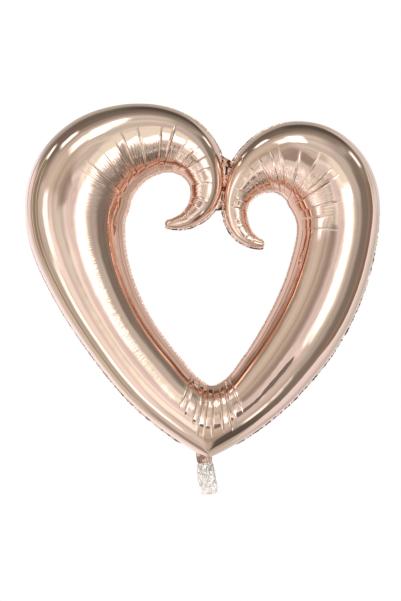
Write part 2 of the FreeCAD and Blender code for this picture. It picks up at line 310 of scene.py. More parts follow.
def make_pleats(stretch, generator):
    """Creases across one stretch of an arm, about a pitch apart, and the facets between them."""
    count = max(2, round((stretch.last - stretch.first) / stretch.pitch))
    creases = np.linspace(stretch.first, stretch.last, count + 1)
    creases[1:-1] += generator.uniform(-CREASE_SCATTER, CREASE_SCATTER, count - 1) * stretch.pitch
    scatter = generator.uniform(-stretch.spread, stretch.spread, count + 1)
    return Pleats(
        creases=creases,
        depths=stretch.depth * generator.uniform(*CREASE_DEPTHS, count + 1),
        starts=np.linspace(*stretch.start_angles, count + 1) + scatter,
        ends=generator.uniform(*CREASE_ENDS, count + 1),
        offsets=generator.uniform(-1.0, 1.0, count),
        tilts=generator.uniform(-1.0, 1.0, count),
        facet_height=stretch.facet_height,
    )


def mesh_lines(length, pleat_sets):
    """Distances of the mesh lines along an arm: close together at creases, wide apart on smooth film."""
    lines = [0.0, length] + list(length - TIP_ROUNDING * np.array([0.15, 0.5, 1.0]))
    covered = []
    for pleats in pleat_sets:
        for crease in pleats.creases:
            lines += [crease + side * offset for offset in CREASE_LINES for side in (-1, 1)]
        for low, high in zip(pleats.creases[:-1], pleats.creases[1:]):
            steps = max(1, round((high - low - 2 * CREASE_LINES[-1]) / FACET_STEP))
            lines += list(np.linspace(low + CREASE_LINES[-1], high - CREASE_LINES[-1], steps + 1))
        covered.append((pleats.creases[0], pleats.creases[-1]))
    for place in np.arange(0, length, SMOOTH_STEP):
        if not any(low <= place <= high for low, high in covered):
            lines.append(place)
    lines = np.unique(np.round(np.clip(lines, 0, length), 2))
    return lines[np.concatenate([[True], np.diff(lines) > CLOSEST_LINES])]


def unit_normals(grid):
    """Unit normals of a grid of points."""
    across = np.gradient(grid, axis=1)
    along = np.gradient(grid, axis=0)
    normals = np.cross(across, along)
    return normals / np.maximum(np.linalg.norm(normals, axis=-1, keepdims=True), 1e-9)


def angle_band(starts, ends, fades, angles):
    """1 between each row's start and end angle, with a soft fade about both: rows by angles."""
    coming, going = (
        smoothstep(edges[:, None] + fade[0], edges[:, None] + fade[1], angles[None, :])
        for edges, fade in zip((starts, ends), fades)
    )
    return coming * (1 - going)


def pleat_envelope(pleats, places, angles):
    """How strongly each grid point belongs to the pleated band: rows are places, columns angles."""
    starts = np.interp(places, pleats.creases, pleats.starts)
    ends = np.interp(places, pleats.creases, pleats.ends)
    inside = (places > pleats.creases[0]) & (places < pleats.creases[-1])
    return angle_band(starts, ends, FACET_FADES, angles) * inside[:, None]


def fold_pleats(grid, places, angles, pleats):
    """Flattens the film between creases, tilts each facet a little and sinks the creases."""
    cell = np.clip(np.searchsorted(pleats.creases, places, side="right") - 1, 0, len(pleats.offsets) - 1)
    low, high = pleats.creases[cell], pleats.creases[cell + 1]
    u = np.clip((places - low) / (high - low), 0, 1)
    envelope = pleat_envelope(pleats, places, angles)

    def rows_at(distance):
        """Points of the grid at distances between its rows."""
        index = np.interp(distance, places, np.arange(len(places)))
        k = np.minimum(index.astype(int), len(places) - 2)
        part = (index - k)[:, None, None]
        return grid[k] * (1 - part) + grid[k + 1] * part

    chord = rows_at(low) * (1 - u)[:, None, None] + rows_at(high) * u[:, None, None]
    folded = grid + (chord - grid) * (FLATTENING * envelope)[..., None]

    bulge_from, bulge_span = FACET_BULGE
    bulge = np.sin(np.pi * np.clip((angles - bulge_from) / bulge_span, 0, 1))
    height = pleats.facet_height * (pleats.offsets[cell][:, None] * bulge[None, :]
                                    + pleats.tilts[cell][:, None] * (u - 0.5)[:, None])
    height = height * smoothstep(0, FACET_EDGE, np.minimum(u, 1 - u))[:, None]
    nearest = np.abs(places[:, None] - pleats.creases[None, :])
    crease = nearest.argmin(1)
    valley = pleats.depths[crease] * np.exp(-nearest.min(1) / CREASE_SLOPE)
    reach = angle_band(pleats.starts[crease], pleats.ends[crease], CREASE_FADES, angles)
    height = height * envelope - valley[:, None] * reach
    return folded + unit_normals(grid) * height[..., None]


def round_the_mitre(grid, places, angles):
    """Blown-up film can't hold a sharp ridge: rounds the crown and the inside of the vee, not the prow."""
    near = np.abs(places) < ROUNDED_REACH
    spacing = np.gradient(places)[near]
    local = places[near]
    keep = 1 - smoothstep(*ROUNDED_FADE, np.abs(local) / ROUNDED_REACH)[:, None]
    in_vee = 1 - VEE_ROUNDING * smoothstep(*VEE_ANGLES, angles)
    widths = MITRE_ROUNDING * smoothstep(*PROW_ANGLES, angles) * in_vee + LEAST_ROUNDING
    rounded = grid.copy()
    for column, width in enumerate(widths):
        kernel = np.exp(-0.5 * ((local[:, None] - local[None, :]) / width) ** 2) * spacing[None, :]
        kernel /= kernel.sum(1, keepdims=True)
        smoothed = kernel @ grid[near, column]
        rounded[near, column] = grid[near, column] * (1 - keep) + smoothed * keep
    return rounded


def towards_left(pleats):
    """Pleats of the left arm with their distances counted as negative, as the sheet's rows are."""
    fields = ("depths", "starts", "ends", "offsets", "tilts")
    turned = {field: getattr(pleats, field)[::-1] for field in fields}
    return pleats._replace(creases=-pleats.creases[::-1], **turned)


def sheet_grid(generator):
    """The front sheet from the left hook's tip through the mitre to the right hook's tip.

    Returns the grid, the signed distance of each row from the mitre (left negative) and the angles."""
    left_sets = [make_pleats(stretch, generator) for stretch in LEFT_PLEATS]
    right_sets = [make_pleats(stretch, generator) for stretch in RIGHT_PLEATS]
    vee = make_pleats(VEE_PLEATS, generator)
    vee = vee._replace(starts=vee.starts + VEE_FANNING * (vee.creases / VEE_REACH) ** 2)
    left_lines = mesh_lines(LEFT.length, left_sets)
    right_lines = mesh_lines(RIGHT.length, right_sets)
    vee_lines = mesh_lines(2 * CROSSING, [vee._replace(creases=vee.creases + CROSSING)]) - CROSSING
    vee_lines = vee_lines[np.abs(vee_lines) <= CROSSING - 1]
    places = np.concatenate([
        -left_lines[left_lines > CROSSING][::-1],
        vee_lines,
        right_lines[right_lines > CROSSING],
    ])
    angles = np.linspace(0, 180, ANGLE_STEPS + 1)
    grid = np.concatenate([
        LEFT.points(-places[places < 0][:, None], angles[None, :]),
        RIGHT.points(places[places >= 0][:, None], angles[None, :]),
    ])
    grid = round_the_mitre(grid, places, angles)
    for pleats in [towards_left(pleats) for pleats in left_sets] + right_sets + [vee]:
        grid = fold_pleats(grid, places, angles, pleats)
    return grid, places, angles


def build_sheet(name, side, generator, material):
    """One blown-up foil sheet; side is -1 in front and +1 behind."""
    grid, places, angles = sheet_grid(generator)
    grid[..., 1] *= -side
    grid[:, 0, 1] = grid[:, -1, 1] = 0.0
    rows, columns = len(places), len(angles)
    piece = new_piece(name, grid.reshape(-1, 3), grid_faces(rows, columns, flip=side > 0), material)
    store(piece, "along", np.repeat(places * MM, columns))
    store(piece, "around", np.tile(angles, rows))
    store(piece, "comb", comb_strength(places, angles))
    return piece


def comb_strength(places, angles):
    """Where the film has fine parallel creases: inside the bends and in a narrow band up the left arm."""
    inner, narrow = (
        (smoothstep(*rising, angles) * (1 - smoothstep(*falling, angles)))[None, :]
        for rising, falling in (COMB_IN_BENDS, COMB_ON_ARM)
    )
    vee_strength, vee_reach = COMB_VEE
    bend = smoothstep(*COMB_HOOKS, np.abs(places)) + vee_strength * np.exp(-(places / vee_reach) ** 2)
    arm_strength, arm_middle, arm_reach = COMB_LEFT
    straight = arm_strength * np.exp(-((places + arm_middle) / arm_reach) ** 2)
    return np.maximum(inner * np.clip(bend, 0, 1)[:, None], narrow * straight[:, None]).ravel()


# -------------------------------- sealed margins
ACROSS_MARGIN = np.linspace(0, 1, MARGIN_COLUMNS)      # from a margin's root to its free edge


def film_strip(name, root, free, lift, material):
    """Thin closed strip between a root row and a free row of points, lifted out of its plane."""
    share = ACROSS_MARGIN[None, :, None]
    middle = root[:, None, :] * (1 - share) + free[:, None, :] * share
    middle[..., 1] += lift
    front, back = middle.copy(), middle.copy()
    front[..., 1] -= STRIP_THICKNESS / 2
    back[..., 1] += STRIP_THICKNESS / 2
    ring = np.concatenate([front, back[:, ::-1]], axis=1)
    rows, around = ring.shape[:2]
    faces = grid_faces(rows, around, wrap=True)
    faces.append(list(range(around))[::-1])
    faces.append([(rows - 1) * around + k for k in range(around)])
    return new_piece(name, ring.reshape(-1, 3), faces, material, smooth=False)


def crinkle(places, pitches, heights, generator):
    """Out-of-plane folds of a margin: none at its root and strongest at its free edge."""
    lift = sum(h * random_folds(places, p, generator) for p, h in zip(pitches, heights))
    skew = random_folds(places, SKEW_PITCH, generator) * SKEW_HEIGHT
    middle = np.sin(ACROSS_MARGIN * math.pi)
    return lift[:, None] * ACROSS_MARGIN[None, :] ** 1.2 + skew[:, None] * middle[None, :]


def gap_to_other_hook(arm, other, places):
    """How far each point of an arm's outer edge is from the other arm's tube."""
    edge = arm.points(places, 0)[:, [0, 2]]
    others = np.arange(0, other.length, 2.0)
    centres = other.frame(others)[0]
    reach = np.linalg.norm(edge[:, None] - centres[None], axis=2) - other.radius(others)[None]
    return reach.min(1)


def outer_margin(name, arm, other, node, ruffled, material, generator):
    """Crinkled outer margin of one arm, from the neck round to the end of its hook."""
    places = np.arange(0, arm.length - MARGIN_END_GAP, MARGIN_STEP)
    start = arm.points(places, 0)
    clear = np.hypot(start[:, 0] - BOTTOM_TIP[0], start[:, 2] - BOTTOM_TIP[2]) > NECK_GAP * 0.75
    places = places[clear]
    ruffle = np.interp(places, *ruffled)
    least, more, random = MARGIN_SHARES
    folds = random_folds(places, MARGIN_PITCH, generator)
    width = SEAM_WIDTH * (least + more * ruffle + random * ruffle * folds)
    room = np.maximum(gap_to_other_hook(arm, other, places) * HOOK_SHARE, LEAST_MARGIN)
    width = np.minimum(width, room)
    free = np.stack([arm.points(p, 0, w) for p, w in zip(places, width)])
    lift = crinkle(places, RUFFLE_PITCHES, RUFFLE_HEIGHTS, generator) * ruffle[:, None]
    strip = film_strip(name, arm.points(places, 0), free, lift, material)
    store(strip, "ruffle", ruffle[:, None] * np.concatenate([ACROSS_MARGIN, ACROSS_MARGIN[::-1]])[None, :])
    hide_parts(node)
    return strip


def inner_margin(material, generator):
    """Crinkled inner margin around the open middle."""
    strips = []
    for arm, name in ((LEFT, "inner_margin_left"), (RIGHT, "inner_margin_right")):
        places = np.arange(0, arm.length - MARGIN_END_GAP, MARGIN_STEP)
        least, random = INNER_SHARES
        width = INNER_SEAM_WIDTH * (least + random * random_folds(places, INNER_PITCH, generator))
        free = np.stack([arm.points(p, 180, w) for p, w in zip(places, width)])
        lift = crinkle(places, INNER_WAVE, INNER_WAVE_HEIGHT, generator) * INNER_STRENGTH
        strips.append(film_strip(name, arm.points(places, 180), free, lift, material))
    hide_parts("inner_seam")
    return strips


def hook_web(material, generator):
    """Crumpled film shared by the two hooks where they lean on each other."""
    on_left = np.arange(*WEB_ON_LEFT, 1.0)
    left_edge = LEFT.points(on_left, 0)
    right_edge = RIGHT.points(np.arange(*WEB_ON_RIGHT, 1.0), 0)
    nearest = np.linalg.norm(left_edge[:, None] - right_edge[None], axis=2).argmin(1)
    middle = np.sin(ACROSS_MARGIN * math.pi)[None, :] ** 0.6
    lift = sum(h * random_folds(on_left, p, generator)[:, None] * middle
               for p, h in zip(WEB_PITCHES, WEB_HEIGHTS))
    web = film_strip("hook_web_foil", left_edge, right_edge[nearest], lift, material)
    store(web, "ruffle", np.full(len(web.data.vertices), WEB_RUFFLE))
    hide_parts("hook_web")
    return web


# -------------------------------- neck and tail
def hang(points):
    """Leans points of the neck about the origin, as the CAD model does."""
    c, s = math.cos(math.radians(-NECK_LEAN)), math.sin(math.radians(-NECK_LEAN))
    x, y, z = points[..., 0], points[..., 1], points[..., 2]
    return np.stack([x * c + z * s, y, -x * s + z * c], -1)


def crumpled(points):
    """Height of crumpled foil at each point: flat cells between straight creases, about -0.6 to 1."""
    shift = Vector(CRUMPLE_SHIFT)
    nearest = [noise.voronoi(Vector(point) / CRUMPLE_SIZE + shift)[0] for point in points.reshape(-1, 3)]
    heights = np.array([near[1] - near[0] for near in nearest]) * 1.6 - 0.6
    return heights.reshape(points.shape[:-1])


def neck_tube(z_values):
    """Flattened foil sleeve from inside the heart's tip to the open end, before it is cut into pieces."""
    half_width = np.interp(z_values, SLEEVE_Z, SLEEVE_HALF_WIDTH)
    half_depth = np.interp(z_values, SLEEVE_Z, SLEEVE_HALF_DEPTH)
    turn = np.linspace(0, 2 * math.pi, NECK_POINTS, endpoint=False)
    side = np.sign(np.sin(turn))
    x = half_width[:, None] * np.cos(turn)[None, :]
    y = half_depth[:, None] * (side * np.abs(np.sin(turn)) ** 1.2)[None, :]
    z = np.repeat(z_values[:, None], NECK_POINTS, axis=1)
    tube = np.stack([x, y, z], -1)
    outwards = np.stack([np.cos(turn) * 0.5, side, np.zeros(NECK_POINTS)], -1)[None, :, :]
    loose = smoothstep(*LOOSE_Z, z_values)[:, None]
    gathered = np.exp(-(z_values / PINCH_REACH) ** 2)[:, None]
    crumple = crumpled(tube * np.array(CRUMPLE_STRETCH)) * CRUMPLE_HEIGHT
    pinch = np.abs(np.sin(turn * PINCH_FOLDS + 0.5 * np.sin(z / 4.0))) * 2.6 - 1.4
    tube = tube + outwards * (crumple * loose + pinch * gathered)[..., None]
    tube[..., 0] += SWAY * np.sin(z / SWAY_LENGTH) * smoothstep(*SWAY_Z, z_values)[:, None]
    over_valve = 1 - smoothstep(*VALVE_EDGE, np.abs(tube[..., 0]))
    room = VALVE_ROOM * over_valve + EDGE_ROOM * (1 - over_valve)
    tube[..., 1] = np.where(side > 0, np.maximum(tube[..., 1], room), np.minimum(tube[..., 1], -room))
    ragged = sum(height * np.sin(turn * waves) for height, waves in RAGGED_END)
    tube[..., 2] += ragged[None, :] * smoothstep(RAGGED_Z, TAIL_END, z_values)[:, None]
    return tube


def cut_tube(name, tube, rows, material, replaced):
    """One stretch of the neck's sleeve as its own piece."""
    part = hang(tube[rows])
    faces = grid_faces(len(part), NECK_POINTS, wrap=True)
    piece = new_piece(name, part.reshape(-1, 3), faces, material)
    piece.data.set_sharp_from_angle(angle=SHARP_CREASE)
    store(piece, "gather", smoothstep(GATHER_Z - 4.0, GATHER_Z, tube[rows][..., 2]))
    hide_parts(*replaced)
    return piece


def build_neck(material):
    """Sleeve in three stretches, and the folds pinched at the gather."""
    z_values = np.linspace(THROAT_TOP, TAIL_END, NECK_ROWS)
    tube = neck_tube(z_values)
    gather_row = int(np.argmin(np.abs(z_values - GATHER_CUT)))
    curl_row = int(np.argmin(np.abs(z_values - CURL_CUT)))
    throat = cut_tube("neck_throat_foil", tube, slice(0, gather_row + 1), material, ["neck_gather"])
    upper = cut_tube("tail_upper_foil", tube, slice(gather_row, curl_row + 1), material,
                     ["tail_upper_front", "tail_upper_rear"])
    lower = cut_tube("tail_lower_foil", tube, slice(curl_row, len(z_values)), material,
                     ["tail_lower_front", "tail_lower_rear"])

    bends = (
        (throat, "heart", "neck", FOLD_BEND),
        (upper, "neck", "tail_root", TWIST_BEND),
        (lower, "tail_root", "tail_end", CURL_BEND),
    )
    for piece, above, below, heights in bends:
        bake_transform(piece)


# -------------------------------- materials
class Nodes:
    """Short way to build a node tree."""

    def __init__(self, tree):
        self.tree = tree
        tree.nodes.clear()

    def add(self, kind, inputs=None, **settings):
        """New node; each input takes a plain value or the socket it is linked to."""
        node = self.tree.nodes.new(kind)
        for key, value in settings.items():
            setattr(node, key, value)
        for key, value in (inputs or {}).items():
            if isinstance(value, bpy.types.NodeSocket):
                self.tree.links.new(value, node.inputs[key])
            else:
                node.inputs[key].default_value = value
        return node

    def math(self, operation, a, b=0.0):
        return self.add("ShaderNodeMath", {0: a, 1: b}, operation=operation).outputs[0]

    def ramp(self, value, low, high, to_low=0.0, to_high=1.0):
        """Smooth step between two values."""
        return self.add("ShaderNodeMapRange", {0: value, 1: low, 2: high, 3: to_low, 4: to_high},
                        interpolation_type="SMOOTHSTEP").outputs[0]

    def band(self, value, low, high, soft):
        """1 between low and high, falling to 0 outside over a soft edge."""
        rising = self.ramp(value, low - soft, low + soft)
        falling = self.ramp(value, high - soft, high + soft, to_low=1.0, to_high=0.0)
        return self.math("MULTIPLY", rising, falling)

    def mix(self, factor, first, second):
        """Colour between two, by the numbers of a colour mix node's sockets."""
        return self.add("ShaderNodeMix", {0: factor, 6: first, 7: second}, data_type="RGBA").outputs[2]

    def noise(self, vector, scale, detail, output=0):
        inputs = {"Vector": vector, "Scale": scale, "Detail": detail}
        return self.add("ShaderNodeTexNoise", inputs).outputs[output]

    def bump(self, height, strength, distance, **below):
        """Bumped normal, on top of another one if it is given."""
        inputs = {"Height": height, "Strength": strength, "Distance": distance, **below}
        return self.add("ShaderNodeBump", inputs).outputs[0]

    def vector_math(self, operation, first, second):
        return self.add("ShaderNodeVectorMath", {0: first, 1: second}, operation=operation).outputs[0]

    def stored(self, name):
        """A number stored on the mesh's vertices."""
        return self.add("ShaderNodeAttribute", attribute_name=name).outputs["Fac"]

    def position(self):
        return self.add("ShaderNodeNewGeometry").outputs["Position"]

    def finish(self, kind, surface):
        """Links a surface or background to a new output node."""
        self.tree.links.new(surface, self.add(kind).inputs[0])


def new_material(name):
    material = bpy.data.materials.new(name)
    material.use_nodes = True
    return material, Nodes(material.node_tree)


def principled(n, **inputs):
    """Ends a material in one principled shader; its inputs are given with underscores for spaces."""
    spaced = {key.replace("_", " "): value for key, value in inputs.items()}
    n.finish("ShaderNodeOutputMaterial", n.add("ShaderNodeBsdfPrincipled", spaced).outputs[0])


ROSE_GOLD, SHADED_GOLD = (0.93, 0.715, 0.615, 1.0), (0.905, 0.695, 0.595, 1.0)
# painted reflection and shade: the inner walls of the tube turn copper, deeper towards the inner seam, where
# the foil mirrors itself
WALL_REFLECTION_COPPER, DEEP_REFLECTION_COPPER = (0.86, 0.60, 0.50, 1.0), (0.72, 0.45, 0.34, 1.0)
WALL_REFLECTION_ANGLES, DEEP_REFLECTION_ANGLES = (129.0, 134.0), (147.0, 153.0)   # angles round the tube where each painted copper reflection sets in
REFLECTION_LINE_WANDER = 14.0                   # degrees by which those lines wander
COMB_LANES = (230.0, 0.045)          # creases of the comb per metre along and per degree round
MARGIN_TINTS = (0.90, 0.67, 0.58, 1.0), (0.95, 0.80, 0.73, 1.0)
# painted shade and copper reflection of the web between the hooks
WEB_SHADE_TINTS = (0.72, 0.40, 0.28, 1.0), (0.88, 0.58, 0.45, 1.0)
# painted shade in the ruffles of the margins
RUFFLE_SHADE_BROWN = (0.10, 0.045, 0.03, 1.0)
# silvery rose film, and painted shade for its creases
SILVER, SILVER_ROSE, CREASE_SHADE = (0.99, 0.96, 0.95, 1.0), (0.96, 0.84, 0.79, 1.0), (0.34, 0.22, 0.20, 1.0)
# painted shade and copper reflection in the folds of the gather
FOLD_SHADE, FOLD_REFLECTION_COPPER = (0.30, 0.14, 0.10, 1.0), (0.86, 0.60, 0.50, 1.0)
CREASE_WANDER = 0.014                # metres by which the limp film's creases bend
MILK, CLEAR_MILK = (0.86, 0.87, 0.86, 1.0), (0.93, 0.93, 0.91, 1.0)
WELD_DARK, WELD_PALE = (0.80, 0.74, 0.70, 1.0), (0.86, 0.80, 0.76, 1.0)


def taut_foil():
    """Mirror-bright rose-gold film: faint ripples everywhere and a fine comb of creases inside the bends."""
    material, n = new_material("rose_gold_taut_foil")
    along, around, comb = n.stored("along"), n.stored("around"), n.stored("comb")
    place = n.position()
    ripples = n.noise(place, 26.0, 1.0)
    wide = n.noise(place, 7.0, 1.0)
    lanes = [n.math("MULTIPLY", value, rate) for value, rate in zip((along, around), COMB_LANES)]
    threads = n.noise(n.add("ShaderNodeCombineXYZ", dict(enumerate(lanes))).outputs[0], 1.0, 2.0)
    soft = n.bump(ripples, 0.10, 0.004)
    softer = n.bump(wide, 0.12, 0.012, Normal=soft)
    fine = n.bump(threads, n.math("MULTIPLY", comb, 0.9), 0.0016, Normal=softer)
    # painted copper reflection and shade on the inner walls, along lines round the tube that wander
    reflection_line = n.math("ADD", around, n.math("MULTIPLY", n.math("SUBTRACT", ripples, 0.5), REFLECTION_LINE_WANDER))
    tint = n.mix(n.ramp(wide, 0.35, 0.7), ROSE_GOLD, SHADED_GOLD)
    tint = n.mix(n.ramp(reflection_line, *WALL_REFLECTION_ANGLES), tint, WALL_REFLECTION_COPPER)
    tint = n.mix(n.ramp(reflection_line, *DEEP_REFLECTION_ANGLES), tint, DEEP_REFLECTION_COPPER)
    roughness = n.math("ADD", n.math("MULTIPLY", comb, 0.02), 0.03)
    principled(n, Base_Color=tint, Metallic=1.0, Roughness=roughness, Normal=fine)
    return material


def sealed_foil(name, low_tint, high_tint):
    """Heat-sealed film: deeper colour, pressed texture, duller shine, dark brown painted shade where it is
    ruffled.
    """
    material, n = new_material(name)
    place = n.position()
    flecks = n.noise(place, 320.0, 3.0)
    cells = n.add("ShaderNodeTexVoronoi", {"Vector": place, "Scale": 240.0}).outputs["Distance"]
    # painted shade: dark brown patches where the margin is ruffled
    ruffle_shade_spots = n.ramp(n.noise(place, 72.0, 1.0), 0.46, 0.54)
    ruffle_shade = n.math("MULTIPLY", ruffle_shade_spots, n.ramp(n.stored("ruffle"), 0.2, 0.6))
    tint = n.mix(n.ramp(flecks, 0.4, 0.65), low_tint, high_tint)
    tint = n.mix(ruffle_shade, tint, RUFFLE_SHADE_BROWN)
    roughness = n.ramp(flecks, 0.3, 0.7, to_low=0.10, to_high=0.26)
    principled(n, Base_Color=tint, Metallic=1.0, Roughness=roughness, Normal=n.bump(cells, 0.55, 0.001))
    return material


def limp_foil():
    """Crumpled neck film: silvery rose with bent creases, painted shade on some of them and painted shade and
    copper in the gather's folds.
    """
    material, n = new_material("silver_rose_limp_foil")
    place = n.position()
    wander = n.noise(place, 85.0, 2.0, output="Color")
    wander = n.vector_math("MULTIPLY", wander, (CREASE_WANDER,) * 3)
    bent = n.vector_math("ADD", place, wander)
    cells = {"Vector": bent, "Scale": 62.0}
    creases = n.add("ShaderNodeTexVoronoi", cells, feature="DISTANCE_TO_EDGE").outputs[0]
    cloud = n.noise(place, 60.0, 2.0)
    # painted shade: darker along the creases, in patches
    crease_shade_spots = n.ramp(n.noise(place, 48.0, 1.0), 0.42, 0.62)
    shaded_creases = n.math("MULTIPLY", crease_shade_spots, n.ramp(creases, 0.0, 0.05, to_low=0.9, to_high=0.0))
    tint = n.mix(n.ramp(cloud, 0.42, 0.66), SILVER, SILVER_ROSE)
    tint = n.mix(shaded_creases, tint, CREASE_SHADE)
    # painted shade and copper reflection in the pinched folds of the gather
    folds = n.mix(n.ramp(cloud, 0.42, 0.58), FOLD_SHADE, FOLD_REFLECTION_COPPER)
    tint = n.mix(n.math("MULTIPLY", n.stored("gather"), 0.9), tint, folds)
    roughness = n.ramp(cloud, 0.3, 0.7, to_low=0.04, to_high=0.11)
    bump = n.bump(n.ramp(creases, 0.0, 0.12), 0.12, 0.0008)
    principled(n, Base_Color=tint, Metallic=0.7, Roughness=roughness, Normal=bump)
    return material


def valve_film():
    """Thin milky polyethylene with faint lengthwise waves."""
    material, n = new_material("milky_valve_film")
    place = n.position()
    waves = {"Vector": place, "Scale": 55.0, "Distortion": 3.0, "Detail": 2.0}
    bump = n.bump(n.add("ShaderNodeTexWave", waves).outputs[0], 0.25, 0.0005)
    haze = n.noise(place, 90.0, 3.0)
    tint = n.mix(n.ramp(haze, 0.35, 0.65), MILK, CLEAR_MILK)
    roughness = n.ramp(haze, 0.3, 0.7, to_low=0.22, to_high=0.38)
    principled(n, Base_Color=tint, Roughness=roughness, Alpha=0.5, Normal=bump)
    return material


def weld_plastic():
    """Fused valve and foil, ribbed by the sealing bar."""
    material, n = new_material("ribbed_valve_weld")
    place = n.position()
    ribs = n.add("ShaderNodeTexWave", {"Vector": place, "Scale": 180.0}, bands_direction="Z").outputs[0]
    mottle = n.noise(place, 120.0, 2.0)
    tint = n.mix(n.ramp(mottle, 0.35, 0.65), WELD_DARK, WELD_PALE)
    principled(n, Base_Color=tint, Roughness=0.4, Normal=n.bump(ribs, 0.5, 0.0005))
    return material


# -------------------------------- studio, metres
CAMERA_DISTANCE = 1.6
SENSOR_WIDTH = 36.0                  # millimetres
VIEW_HEIGHT = 1.5025                 # height of the picture at the seam plane
VIEW_CENTRE = (-0.01075, 0.40175)    # x and z looked at
CARD_CENTRE, CARD_RADIUS = (0.20, -1.72, -0.34), 0.25
CARD_GREY = (0.21, 0.19, 0.17, 1.0)
LIGHT_PLACE, LIGHT_SIZE, LIGHT_POWER = (0.4, -1.2, 2.2), 1.6, 110.0
FLOOR_DROP, FLOOR_HALF = 0.30, 30.0  # how far the floor is below the tail, and half its side
FLOOR_GLOW = 0.75                    # light that it gives the balloon; the camera sees it as white, 1
WHITE = (1.0, 1.0, 1.0, 1.0)

Patch = namedtuple("Patch", "polar clock soft level tint")
NEUTRAL, CREAM, TAN, BLUSH = (0.97, 1.0, 1.04), (1.01, 1.01, 0.97), (1.06, 0.98, 0.88), (1.0, 0.99, 0.98)
COPPER, GOLD = (1.32, 0.98, 0.76), (1.2, 1.02, 0.66)
ROOM, SWEEP = (0.60, 0.57, 0.53, 1.0), (0.97, 0.95, 1.0, 1.0)
# The room ends and the white sweep behind the balloon begins this many degrees from the camera's direction.
# Overhead it ends later and more softly, on the right sooner: directions, their softness, degrees further.
ROOM_EDGE, EDGE_SOFTNESS, OVERHEAD_SOFTNESS = 110.0, 3.0, 7.0
OVERHEAD = (62.0, 150.0), 12.0
EDGE_SHIFTS = [
    (*OVERHEAD, 14.0),
    ((-60.0, 30.0), 10.0, -11.0),
    ((158.0, 232.0), 8.0, 4.0),
    ((-62.0, -30.0), 8.0, -12.0),
]
# Walls, windows and light boxes, each later one painted over the ones before. Polar is the angle away from
# the direction of the camera and clock goes round it anticlockwise from the right, both in degrees.
STUDIO = [
    Patch((-40, 24), (-200, 200), (9, 1), 0.78, BLUSH),   # camera's corner of the room
    Patch((24, 74), (48, 118), (9, 14), 0.68, CREAM),     # light wall high in front
    Patch((20, 54), (116, 170), (6, 12), 0.50, TAN),      # wall on the left, shaded at its far end
    Patch((20, 54), (170, 222), (6, 10), 0.72, CREAM),
    Patch((12, 31), (124, 184), (5, 8), 0.37, TAN),
    Patch((16, 46), (222, 256), (6, 8), 1.02, CREAM),     # pale floor in front
    Patch((46, 92), (222, 262), (6, 8), 0.64, CREAM),     # floor beside the camera
    Patch((30, 86), (258, 292), (6, 8), 0.48, TAN),       # furniture under the camera
    Patch((53, 88), (282, 318), (4, 7), 0.11, TAN),
    Patch((32, 60), (-52, 36), (8, 10), 0.54, CREAM),     # wall on the right, darker towards its end
    Patch((36, 64), (4, 60), (6, 8), 0.62, CREAM),
    Patch((57, 100), (-52, 34), (5, 10), 0.25, TAN),
    Patch((84, 97), (-40, 24), (3, 8), 0.18, COPPER),
    Patch((64, 112), (26, 62), (6, 8), 0.26, TAN),
    Patch((62, 84), (44, 66), (5, 6), 0.52, CREAM),
    Patch((76, 136), (52, 160), (12, 8), 0.22, TAN),      # dark ceiling
    Patch((98, 118), (96, 140), (8, 8), 0.16, TAN),
    Patch((98, 122), (46, 98), (8, 8), 0.09, TAN),
    Patch((74, 84), (160, 226), (4, 8), 0.60, CREAM),     # wall beside the left window
    Patch((84, 112), (146, 200), (4, 8), 0.32, TAN),
    Patch((84, 100), (196, 232), (4, 8), 0.50, CREAM),
    Patch((92, 120), (232, 256), (4, 6), 0.33, TAN),
    Patch((90, 92), (150, 226), (0.8, 6), 0.75, GOLD),    # its gilt and dark edges
    Patch((96, 100), (150, 226), (1.2, 6), 0.22, TAN),
    Patch((104, 106), (140, 226), (0.8, 6), 0.62, GOLD),
    Patch((5, 37), (-30, 66), (7, 10), 0.96, CREAM),      # light box on the right, brightest at its edge
    Patch((20, 35), (2, 22), (4, 6), 2.0, NEUTRAL),
    Patch((12, 29), (-38, 14), (6, 7), 2.2, NEUTRAL),
    Patch((9, 24), (-56, -36), (5, 7), 1.25, NEUTRAL),
    Patch((47, 66), (90, 108), (2, 4), 2.4, NEUTRAL),     # light box overhead
    Patch((50, 63), (106, 126), (2, 4), 1.5, NEUTRAL),
    Patch((43, 62), (186, 236), (4, 6), 0.86, CREAM),     # curtain under the left window
    Patch((56, 68), (166, 203), (2, 5), 1.35, NEUTRAL),   # left window
    Patch((65, 76), (203, 240), (2, 5), 1.5, NEUTRAL),
    Patch((79, 88), (121, 133), (1.5, 2), 1.6, NEUTRAL),  # small lamps
    Patch((85, 95), (32, 44), (1.5, 2), 1.2, NEUTRAL),
    Patch((49, 59), (-60, -50), (2, 3), 1.5, NEUTRAL),
    Patch((97, 104), (136, 144), (1.5, 2), 1.6, NEUTRAL),
]
BEHIND = [
    Patch((100, 134), (12, 150), (7, 10), 0.62, CREAM),
    Patch((112, 140), (-62, 12), (6, 8), 0.60, BLUSH),
    Patch((100, 150), (254, 300), (5, 8), 0.62, CREAM),
    Patch((104, 122), (180, 236), (6, 8), 0.70, CREAM),
    Patch((132, 166), (56, 142), (5, 8), 0.52, TAN),
    Patch((127, 130), (-60, 176), (1.2, 8), 0.36, TAN),
    Patch((144, 148), (-60, 120), (1.2, 8), 0.42, TAN),
    Patch((166, 200), (-200, 200), (4, 1), 0.52, CREAM),  # room behind the balloon
    Patch((160, 170), (20, 160), (3, 12), 0.24, TAN),
    Patch((163, 175), (-40, 30), (2, 8), 2.2, NEUTRAL),
    Patch((160, 170), (195, 235), (2, 6), 1.8, NEUTRAL),
]


